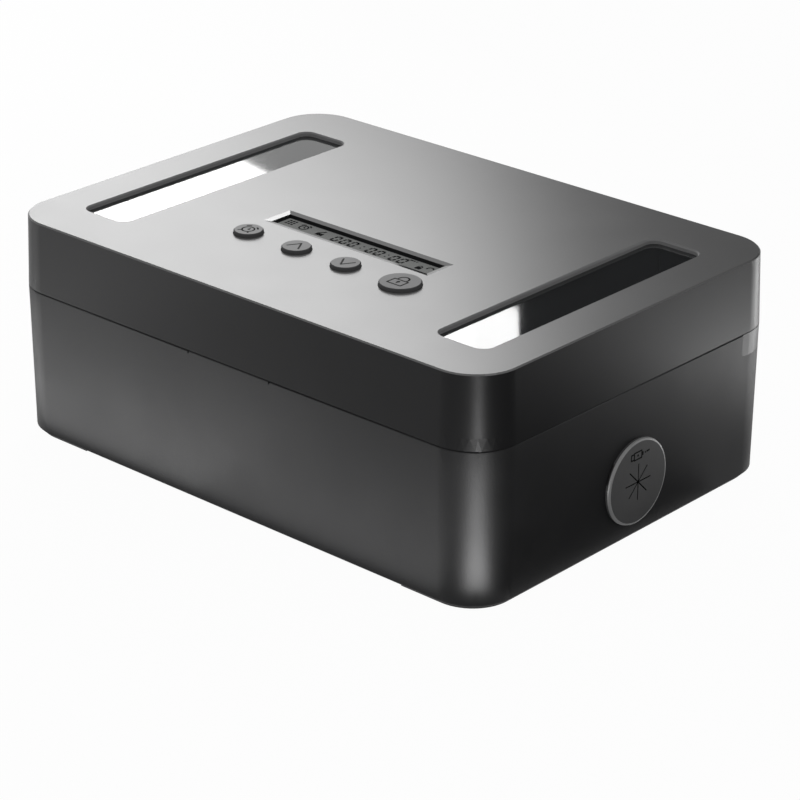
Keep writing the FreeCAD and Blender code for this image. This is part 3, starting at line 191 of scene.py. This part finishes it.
def make_camera():
    """Set up the camera of the photograph."""
    data = bpy.data.cameras.new("camera")
    data.lens = CAMERA_LENS
    data.clip_end = CAMERA_REACH
    camera = link("camera", data)
    back = look(CAMERA_AZIMUTH, CAMERA_ELEVATION)
    level_right = Vector((math.cos(CAMERA_AZIMUTH), math.sin(CAMERA_AZIMUTH), 0))
    level_up = back.cross(level_right)
    right = level_right * math.cos(CAMERA_ROLL) + level_up * math.sin(CAMERA_ROLL)
    up = back.cross(right)
    turned = Matrix((right, up, back)).transposed().to_4x4()
    camera.matrix_world = Matrix.Translation(CAMERA_TARGET + back * CAMERA_DISTANCE) @ turned
    scene.camera = camera


def make_light(name, corner, along, rising, radiance, shown=True):
    """Hang a soft rectangular light from one corner and its two sides, facing the box."""
    corner, along, rising = Vector(corner) * MM, Vector(along) * MM, Vector(rising) * MM
    data = bpy.data.lights.new(name, "AREA")
    data.shape = "RECTANGLE"
    data.size = along.length
    data.size_y = rising.length
    data.energy = radiance * math.pi * along.length * rising.length
    light = link(name, data)
    across = along.normalized()
    back = across.cross(rising).normalized()
    middle = corner + (along + rising) / 2
    if back.dot(middle - CAMERA_TARGET) < 0:
        back, across = -back, -across
    turned = Matrix((across, back.cross(across), back)).transposed().to_4x4()
    light.matrix_world = Matrix.Translation(middle) @ turned
    light.visible_camera = light.visible_diffuse = shown


def make_card(name, corners):
    """Put up a black card, as a studio does to darken a reflection: only glossy surfaces show it."""
    shape = bmesh.new()
    shape.faces.new([shape.verts.new(Vector(corner) * MM) for corner in corners])
    card = paint(link(name, as_mesh(name, shape)), "black_card")
    card.visible_camera = card.visible_diffuse = card.visible_shadow = card.visible_transmission = False


class Nodes:
    """A small helper that adds nodes to one tree and wires them by socket name."""

    def __init__(self, tree):
        self.tree = tree

    def add(self, kind, settings=None, inputs=None):
        """Add a node, set its properties and feed its sockets with values or with other nodes' outputs."""
        node = self.tree.nodes.new(kind)
        for name, value in (settings or {}).items():
            setattr(node, name, value)
        for name, value in (inputs or {}).items():
            if isinstance(value, bpy.types.NodeSocket):
                self.tree.links.new(value, node.inputs[name])
            else:
                node.inputs[name].default_value = value
        return node

    def math(self, operation, first, second):
        """Add a math node of two values."""
        return self.add("ShaderNodeMath", {"operation": operation}, {0: first, 1: second}).outputs[0]

    def noise(self, place, scale, **settings):
        """Add a noise texture at a place."""
        inputs = {"Vector": place, "Scale": scale, **settings}
        return self.add("ShaderNodeTexNoise", None, inputs).outputs[0]

    def spread(self, value, middle, change):
        """Map a noise value onto a range to both sides of a middle."""
        low, high = self.math("SUBTRACT", middle, change), self.math("ADD", middle, change)
        span = {"From Min": NOISE_LOW, "From Max": NOISE_HIGH, "To Min": low, "To Max": high}
        return self.add("ShaderNodeMapRange", None, {"Value": value, **span}).outputs["Result"]

    def mix(self, share, first, second):
        """Mix two shaders."""
        inputs = {0: share, 1: first.outputs[0], 2: second.outputs[0]}
        return self.add("ShaderNodeMixShader", None, inputs)

    def finish(self, kind, shader):
        """Send a shader to the tree's output."""
        self.add(kind, None, {"Surface": shader.outputs[0]})


def new_material(name, empty):
    """Start a material and a helper for its nodes."""
    material = bpy.data.materials.new(name)
    material.use_nodes = True
    if empty:
        material.node_tree.nodes.clear()
    MATERIALS[name] = material
    return material.node_tree, Nodes(material.node_tree)


def seen_directly(make):
    """Tell the rays that come from the camera, through clear plastic or off a glossy surface."""
    path = make.add("ShaderNodeLightPath")
    seen = make.math("MAXIMUM", path.outputs["Is Camera Ray"], path.outputs["Is Transmission Ray"])
    return make.math("MAXIMUM", seen, path.outputs["Is Glossy Ray"])


def make_world():
    """Fill the room with plain grey light, with white behind the object."""
    world = bpy.data.worlds.new("studio")
    world.use_nodes = True
    scene.world = world
    world.node_tree.nodes.clear()
    make = Nodes(world.node_tree)
    lit = {"Value": seen_directly(make), "To Min": WORLD_LIGHT, "To Max": 1.0}
    strength = make.add("ShaderNodeMapRange", None, lit).outputs["Result"]
    back = make.add("ShaderNodeBackground", None, {"Color": WHITE, "Strength": strength})
    make.finish("ShaderNodeOutputWorld", back)


def make_floor():
    """Lay the pale floor, which reads white and keeps the object's shadow."""
    shape = bmesh.new()
    bmesh.ops.create_grid(shape, x_segments=1, y_segments=1, size=FLOOR_SIDE / 2,
                          matrix=Matrix.Translation((0, 0, -FLOOR_GAP)))
    floor = link("floor", as_mesh("floor", shape))
    make = new_material("pale_floor", empty=True)[1]
    share = make.math("MULTIPLY", seen_directly(make), FLOOR_GLOW_SHARE)
    lit = make.add("ShaderNodeBsdfDiffuse", None, {"Color": FLOOR_PALE})
    glow = make.add("ShaderNodeEmission", None, {"Color": WHITE, "Strength": 1.0})
    make.finish("ShaderNodeOutputMaterial", make.mix(share, lit, glow))
    paint(floor, "pale_floor")


def new_group(name, ins, outs):
    """Start a shared effect with named sockets."""
    tree = bpy.data.node_groups.new(name, "ShaderNodeTree")
    for socket, kind in ins:
        tree.interface.new_socket(socket, in_out="INPUT", socket_type=kind)
    for socket, kind in outs:
        tree.interface.new_socket(socket, in_out="OUTPUT", socket_type=kind)
    make = Nodes(tree)
    return tree, make, make.add("NodeGroupInput").outputs, make.add("NodeGroupOutput")


def make_grain():
    """Share one effect: colour, roughness and height vary with a fine grain and soft patches."""
    number, colour, vector = "NodeSocketFloat", "NodeSocketColor", "NodeSocketVector"
    tree, make, given, out = new_group(
        "moulded_grain",
        (("Place", vector), ("Colour", colour), ("Colour Change", number), ("Roughness", number),
         ("Roughness Change", number), ("Grain Scale", number), ("Patch Scale", number)),
        (("Colour", colour), ("Roughness", number), ("Height", number)))
    fine = make.noise(given["Place"], given["Grain Scale"], Detail=3.0, Roughness=0.6)
    patch = make.noise(given["Place"], given["Patch Scale"], Detail=2.0)
    both = make.math("MULTIPLY", make.math("ADD", fine, patch), 0.5)
    shade = make.spread(both, 1.0, given["Colour Change"])
    tinted = make.add("ShaderNodeVectorMath", {"operation": "SCALE"}, {0: given["Colour"], "Scale": shade})
    rough = make.spread(both, given["Roughness"], given["Roughness Change"])
    tree.links.new(tinted.outputs[0], out.inputs["Colour"])
    tree.links.new(rough, out.inputs["Roughness"])
    tree.links.new(fine, out.inputs["Height"])
    return tree


def make_brushing():
    """Share one effect: fine parallel scratches along X, for metal."""
    number, vector = "NodeSocketFloat", "NodeSocketVector"
    tree, make, given, out = new_group(
        "brushed_lines", (("Place", vector), ("Roughness", number), ("Roughness Change", number)),
        (("Roughness", number), ("Height", number)))
    drawn = make.add("ShaderNodeVectorMath", {"operation": "MULTIPLY"}, {0: given["Place"], 1: BRUSH_DRAWN})
    lines = make.noise(drawn.outputs[0], BRUSH_SCALE, Detail=2.0)
    rough = make.spread(lines, given["Roughness"], given["Roughness Change"])
    tree.links.new(rough, out.inputs["Roughness"])
    tree.links.new(lines, out.inputs["Height"])
    return tree


def make_surface(name, grain, brushing):
    """Make a material whose colour, roughness and bump come from the shared effects."""
    colour, roughness, colour_change, roughness_change, grain_scale, bump, settings = FINISHES[name]
    tree, make = new_material(name, empty=False)
    shader = tree.nodes["Principled BSDF"]
    place = make.add("ShaderNodeTexCoord").outputs["Object"]
    grained = make.add("ShaderNodeGroup", {"node_tree": grain}, {
        "Place": place, "Colour": (*colour, 1), "Colour Change": colour_change, "Roughness": roughness,
        "Roughness Change": roughness_change, "Grain Scale": grain_scale,
        "Patch Scale": PATCH_SCALES.get(name, PATCH_SCALE)})
    rough, height = grained.outputs["Roughness"], grained.outputs["Height"]
    if name in BRUSHED:
        lines = make.add("ShaderNodeGroup", {"node_tree": brushing}, {
            "Place": place, "Roughness": rough, "Roughness Change": roughness_change * 2})
        rough, height = lines.outputs["Roughness"], lines.outputs["Height"]
    relief = make.add("ShaderNodeBump", None,
                      {"Strength": bump, "Distance": BUMP_DISTANCE, "Height": height})
    tree.links.new(grained.outputs["Colour"], shader.inputs["Base Color"])
    tree.links.new(rough, shader.inputs["Roughness"])
    tree.links.new(relief.outputs[0], shader.inputs["Normal"])
    for socket, value in settings.items():
        shader.inputs[socket].default_value = value


def make_clear(name, grain):
    """Make a clear plastic: a tinted body seen through, under a face that shines on its outer side only."""
    tint, body, index = CLEAR_FINISHES[name]
    make = new_material(name, empty=True)[1]
    place = make.add("ShaderNodeTexCoord").outputs["Object"]
    grained = make.add("ShaderNodeGroup", {"node_tree": grain},
                       {"Place": place, "Colour": (*tint, 1), **CLEAR_GRAIN})
    tinted = make.add("ShaderNodeBsdfDiffuse", None, {"Color": grained.outputs["Colour"]})
    clear = make.add("ShaderNodeBsdfTransparent", None, {"Color": WHITE})
    through = make.mix(body, clear, tinted)
    polish = make.add("ShaderNodeBsdfGlossy", None,
                      {"Color": WHITE, "Roughness": grained.outputs["Roughness"]})
    rim = make.add("ShaderNodeFresnel", None, {"IOR": index})
    outer = make.math("SUBTRACT", 1.0, make.add("ShaderNodeNewGeometry").outputs["Backfacing"])
    share = make.math("MULTIPLY", rim.outputs[0], outer)
    make.finish("ShaderNodeOutputMaterial", make.mix(share, through, polish))


def make_materials():
    """Make one finish for every material slot of the record, and those of the scene's own signs."""
    grain, brushing = make_grain(), make_brushing()
    for name in FINISHES:
        make_surface(name, grain, brushing)
    for name in CLEAR_FINISHES:
        make_clear(name, grain)


def as_mesh(name, shape):
    """Turn a finished bmesh into a mesh."""
    mesh = bpy.data.meshes.new(name)
    shape.to_mesh(mesh)
    shape.free()
    return mesh


def link(name, data):
    """Put a mesh, lamp or camera into the scene."""
    obj = bpy.data.objects.new(name, data)
    scene.collection.objects.link(obj)
    return obj


def paint(obj, name):
    """Give every face of a piece one finish."""
    obj.data.materials.clear()
    obj.data.materials.append(MATERIALS[name])
    return obj


def finish_copy(node, sharp_angle=SHARP_ANGLE):
    """Stand a merged, smooth copy of a CAD node in its place, so that its round faces shade as one."""
    mesh = frame["nodes"][node].data.copy()
    mesh.name = f"{node}_finished"
    shape = bmesh.new()
    shape.from_mesh(mesh)
    bmesh.ops.remove_doubles(shape, verts=shape.verts, dist=MERGE_DISTANCE)
    bmesh.ops.dissolve_limit(shape, angle_limit=FLAT_ANGLE, verts=shape.verts, edges=shape.edges)
    bmesh.ops.recalc_face_normals(shape, faces=shape.faces)
    shape.to_mesh(mesh)
    shape.free()
    mesh.polygons.foreach_set("use_smooth", [True] * len(mesh.polygons))
    mesh.set_sharp_from_angle(angle=sharp_angle)
    copy = link(mesh.name, mesh)
    weights = copy.modifiers.new("even_corners", "WEIGHTED_NORMAL")
    weights.keep_sharp = True
    paint(copy, SLOT_OF[node])
    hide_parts(node)
    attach(copy, BODY_OF[node])
    return copy


def press_in(copy, axis):
    """Press a copy's outermost flat face in by a hair, so that a sign on it stays within the part's box."""
    outermost = max(vert.co[axis] for vert in copy.data.vertices)
    for vert in copy.data.vertices:
        if vert.co[axis] > outermost - PRESS_DEPTH / 2:
            vert.co[axis] -= PRESS_DEPTH
    return copy


def paint_lid_top(lid):
    """Give the lid's top face a satin finish and the display's bevel a polish, and paint the window reveals a
    pale grey as painted light.
    """
    low, high = (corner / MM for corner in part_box("display_panel"))
    pane_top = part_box("window_pane_left")[1].z / MM
    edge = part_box("lid_shell")[1] / MM
    skirt, top, bevel, reveal = range(4)
    for finish in ("lid_top_satin", "display_bevel_polish", "window_reveal_painted_light"):
        lid.data.materials.append(MATERIALS[finish])
    for face in lid.data.polygons:
        middle, level = face.center / MM, face.normal.z
        outside = abs(middle.x) > edge.x - RIM_FROM_SIDES or abs(middle.y) > edge.y - RIM_FROM_ENDS
        by_display = low.x < middle.x < high.x and low.y < middle.y < high.y
        if level > LEVEL and middle.z > edge.z - TOP_DEPTH or outside and level > ROUNDED:
            face.material_index = top if middle.z > edge.z - RIM_DEPTH else skirt
        elif by_display:
            polished = level > NEARLY_LEVEL and middle.z > edge.z - BEVEL_DEPTH
            face.material_index = bevel if polished else skirt
        # The reveals get the pale grey: painted light.
        elif middle.z > pane_top and not outside:
            face.material_index = reveal


def paint_grommet(grommet):
    """Paint a pale highlight on the grommet's rounded rim, and painted shade on the walls of its star slit.
    """
    rim, slit = 1, 2
    for finish in ("grommet_rim_painted_highlight", "sign_print_and_slit_shade"):
        grommet.data.materials.append(MATERIALS[finish])
    low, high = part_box("cable_grommet")
    middle_y, middle_z, reach = (low.y + high.y) / 2, (low.z + high.z) / 2, (high.z - low.z) / 2
    for face in grommet.data.polygons:
        away = math.hypot(face.center.y - middle_y, face.center.z - middle_z)
        # The rim's faces get a pale colour: a painted highlight.
        if RIM_LEAST < face.normal.x < RIM_MOST and away > reach * RIM_SHARE:
            face.material_index = rim
        # The slit's walls get the near-black print colour: painted shade.
        elif abs(face.normal.x) < SLIT_MOST and away < reach * SLIT_SHARE:
            face.material_index = slit


def flat_sign(name, shapes, material, body):
    """Cut a thin flat sign from closed outlines, each a list of corners in the part's frame."""
    shape = bmesh.new()
    for corners in shapes:
        face = shape.faces.new([shape.verts.new(corner) for corner in corners])
        face.normal_update()
        if face.normal.z < 0:
            face.normal_flip()
        bmesh.ops.solidify(shape, geom=[face], thickness=SIGN_THICKNESS)
    bmesh.ops.recalc_face_normals(shape, faces=shape.faces)
    sign = paint(link(name, as_mesh(name, shape)), material)
    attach(sign, body)
    return sign


def stroke(points, width, closed=False):
    """Turn a line through flat points into four-cornered outlines of one width, with round joints."""
    outlines = []
    count = len(points)
    for number in range(count if closed else count - 1):
        a, b = Vector(points[number]), Vector(points[(number + 1) % count])
        side = (b - a).normalized().orthogonal() * width / 2
        outlines.append([a + side, a - side, b - side, b + side])
    for point in points if closed else points[1:-1]:
        outlines.append(disc(point, width / 2, ROUND_SIDES))
    return outlines


def disc(centre, radius, sides):
    """Give the corners of a round outline."""
    centre = Vector(centre)
    return [centre + Vector((math.cos(turn), math.sin(turn))) * radius
            for turn in (2 * math.pi * number / sides for number in range(sides))]


def arc(centre, radius, start, stop, steps):
    """Give points along an arc, in degrees."""
    centre = Vector(centre)
    turns = [math.radians(start + (stop - start) * number / steps) for number in range(steps + 1)]
    return [centre + Vector((math.cos(turn), math.sin(turn))) * radius for turn in turns]


def box_outline(low_x, low_y, high_x, high_y):
    """Give the corners of an upright rectangle."""
    return [(low_x, low_y), (high_x, low_y), (high_x, high_y), (low_x, high_y)]


def lay(outlines, place, height):
    """Lay flat outlines, drawn in millimetres, at a place and height in the part's frame."""
    origin = Vector(place) * MM
    return [[Vector((origin.x + point.x * MM, origin.y + point.y * MM, height))
             for point in map(Vector, outline)] for outline in outlines]


def zero_digit():
    """Draw a seven-segment zero as six separate bars with a slight lean."""
    half, rise = DIGIT_WIDTH / 2, DIGIT_HEIGHT / 2
    bars = [((-half, rise), (half, rise)), ((-half, -rise), (half, -rise))]
    for side in (-half, half):
        bars += [((side, DIGIT_GAP), (side, rise)), ((side, -rise), (side, -DIGIT_GAP))]
    outlines = []
    for start, stop in bars:
        a, b = Vector(start), Vector(stop)
        along = (b - a).normalized() * DIGIT_SHORTENING
        outlines += stroke([a + along, b - along], DIGIT_STROKE)
    return [[Vector((point.x + point.y * DIGIT_LEAN, point.y)) for point in outline] for outline in outlines]


def make_timer_digits(height):
    """Put the timer's seven zeros and two colons on the liquid crystal panel."""
    outlines = []
    for place in DIGIT_PLACES:
        outlines += lay(zero_digit(), (place, DIGIT_ROW), height)
    for place in COLON_PLACES:
        for rise in (-COLON_RISE, COLON_RISE):
            dot = disc((place + rise * DIGIT_LEAN, rise), COLON_RADIUS, ROUND_SIDES)
            outlines += lay([dot], (0, DIGIT_ROW), height)
    flat_sign("timer_digits", outlines, "display_ink", "lid")


def cell_grid():
    """Draw the square of nine cells."""
    outlines = []
    for row in range(GRID_COUNT):
        for column in range(GRID_COUNT):
            x, y = -GRID_PITCH + column * GRID_PITCH, -GRID_PITCH + row * GRID_PITCH
            outlines.append(box_outline(x - GRID_HALF_CELL, y - GRID_HALF_CELL,
                                        x + GRID_HALF_CELL, y + GRID_HALF_CELL))
    return outlines


def make_display_signs(height):
    """Put the small signs on the liquid crystal panel: to the left of the digits, and to their right."""
    clock = stroke(arc((0, 0), 1.6, 0, 345, 20), 0.55, closed=True)
    clock += stroke([(0, 0.9), (0, 0), (0.7, -0.3)], 0.42)
    clock += stroke(arc((0, 0), 2.5, 30, 70, 4), 0.55) + stroke(arc((0, 0), 2.5, 110, 150, 4), 0.55)
    hand = [box_outline(-1.5, -1.6, 1.5, 0.2), [(-0.4, 1.0), (0.4, 1.0), (0.9, 2.4), (0.1, 2.4)]]
    hand += stroke([(-1.2, 0.1), (-0.3, 1.2)], 0.5)
    dash = stroke([(-1.6, 0), (0.6, 0)], 0.6) + stroke([(1.1, -0.3), (1.6, 0.3)], 0.5)
    padlock = [box_outline(-1.1, -1.3, 1.1, 0.6)] + stroke(arc((0, 0.7), 0.75, 0, 180, 8), 0.4)
    shackle = stroke(arc((0, 0), 1.1, 0, 180, 8) + [Vector((-1.1, -0.8))], 0.55)
    signs = ((cell_grid(), (-32.6, -12.6)), (clock, (-26.2, -13.3)), (hand, (-18.2, -13.5)),
             (dash, (21.0, -10.9)), (padlock, (26.0, -14.1)), (shackle, (29.6, -12.6)))
    outlines = [outline for drawn, place in signs for outline in lay(drawn, place, height)]
    flat_sign("display_signs", outlines, "display_ink", "lid")


def make_key_signs():
    """Engrave the sign of each key: an alarm clock, up, down and a padlock."""
    clock = stroke(arc((0, -0.15), 2.1, 0, 345, 24), 0.55, closed=True)
    clock += stroke([(0, 1.1), (0, -0.3), (1.0, -0.3)], 0.5)
    clock += stroke(arc((0, -0.15), 3.2, 36, 68, 5), 0.6) + stroke(arc((0, -0.15), 3.2, 112, 144, 5), 0.6)
    clock += stroke([(-1.6, -1.9), (-2.3, -2.8)], 0.55) + stroke([(1.6, -1.9), (2.3, -2.8)], 0.55)
    up = stroke([(-2.6, -2.0), (0, 2.3), (2.6, -2.0)], 0.65)
    down = [[(point[0], -point[1]) for point in outline] for outline in up]
    padlock = stroke(box_outline(-2.8, -3.2, 2.8, 0.6), 0.62, closed=True)
    padlock += stroke([(-1.8, 0.6), (-1.8, 1.7), *arc((0, 1.7), 1.8, 180, 0, 10), (1.8, 0.6)], 0.62)
    padlock += [disc((0, -0.9), 0.65, 12)] + stroke([(0, -0.9), (0, -2.1)], 0.55)
    for name, sign in (("timer", clock), ("up", up), ("down", down), ("lock", padlock)):
        low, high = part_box(f"{name}_key")
        place = ((low.x + high.x) / 2 / MM, (low.y + high.y) / 2 / MM)
        outlines = lay(sign, place, KEY_TOP - PRESS_DEPTH / 2)
        flat_sign(f"{name}_key_sign", outlines, "dark_marks_and_slot_shade", f"{name}_key")


def make_plug_sign():
    """Print the plug sign above the grommet's star slit: a plug in two parts, and its cable to the right."""
    face_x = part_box("cable_grommet")[1].x - PRESS_DEPTH / 2
    sign = stroke(box_outline(-4.4, -0.95, -2.9, 0.95), 0.5, closed=True)
    sign += stroke(box_outline(-2.9, -1.25, 0.9, 1.25), 0.5, closed=True)
    sign += [disc((-1.0, 0), 0.42, 10), box_outline(0.9, -0.65, 1.8, 0.65)]
    sign += stroke([(2.4, 0), (3.0, 0)], 0.65) + stroke([(3.3, 0), (4.9, 0.15)], 0.6)
    piece = flat_sign("plug_sign", lay(sign, PLUG_SIGN_PLACE, 0), "sign_print_and_slit_shade", "case")
    piece.data.transform(Matrix(((0, 0, 1, face_x), (1, 0, 0, 0), (0, 1, 0, 0), (0, 0, 0, 1))))


def islands(shape):
    """Part a bmesh into its separate solids, each a list of points."""
    waiting = set(shape.verts)
    found = []
    for start in shape.verts:
        if start not in waiting:
            continue
        waiting.discard(start)
        island, front = [start], [start]
        while front:
            reached = [edge.other_vert(vert) for vert in front for edge in vert.link_edges]
            front = [vert for vert in dict.fromkeys(reached) if vert in waiting]
            waiting.difference_update(front)
            island += front
        found.append(island)
    return found


def screw_heads(node, axis, way):
    """Find the middle of each screw head's face, a hair out from it, on the side that the heads face."""
    shape = bmesh.new()
    shape.from_mesh(frame["nodes"][node].data)
    bmesh.ops.remove_doubles(shape, verts=shape.verts, dist=MERGE_DISTANCE)
    heads = []
    for island in islands(shape):
        low = Vector([min(vert.co[number] for vert in island) for number in (X, Y, Z)])
        high = Vector([max(vert.co[number] for vert in island) for number in (X, Y, Z)])
        middle = (low + high) / 2
        middle[axis] = (high if way > 0 else low)[axis] + way * SIGN_THICKNESS / 4
        heads.append(middle)
    shape.free()
    return heads


def make_screw_slots():
    """Paint the cross slots on the screw heads that can be seen: thin dark crosses laid on the heads, as
    painted shade for the slots.
    """
    cross = stroke([(-SLOT_REACH, 0), (SLOT_REACH, 0)], SLOT_WIDTH)
    cross += stroke([(0, -SLOT_REACH), (0, SLOT_REACH)], SLOT_WIDTH)
    for node, axis, way in SLOTTED_SCREWS:
        heads = screw_heads(node, axis, way)
        outlines = []
        for middle in heads:
            across = (middle.x / MM, (middle.y if axis == Z else middle.z) / MM)
            outlines += lay(cross, across, 0)
        slots = flat_sign(f"{node}_slots", outlines, "dark_marks_and_slot_shade", BODY_OF[node])
        if axis == Z:
            slots.data.transform(Matrix.Translation((0, 0, heads[-1].z)))
        else:
            slots.data.transform(Matrix(((1, 0, 0, 0), (0, 0, 1, heads[-1].y), (0, 1, 0, 0), (0, 0, 0, 1))))


def dress_nodes():
    """Give every CAD node its finish: smooth copies for the round ones, better materials for the rest."""
    for node, obj in frame["nodes"].items():
        if node == "lid_shell":
            paint_lid_top(finish_copy(node, LID_SHARP_ANGLE))
        elif node == "cable_grommet":
            paint_grommet(press_in(finish_copy(node), X))
        elif node.endswith("_key"):
            press_in(finish_copy(node), Z)
        elif node in SMOOTH_NODES:
            finish_copy(node)
        else:
            paint(obj, SLOT_OF[node])


make_camera()
make_world()
make_floor()
make_materials()
make_light(*SOFTBOX)
for glow in GLOWS:
    make_light(*glow, shown=False)
for card_name, card_corners in CARDS:
    make_card(card_name, card_corners)
dress_nodes()
make_timer_digits(PANEL_TOP + SIGN_THICKNESS * 2)
make_display_signs(PANEL_TOP + SIGN_THICKNESS * 2)
make_key_signs()
make_plug_sign()
make_screw_slots()
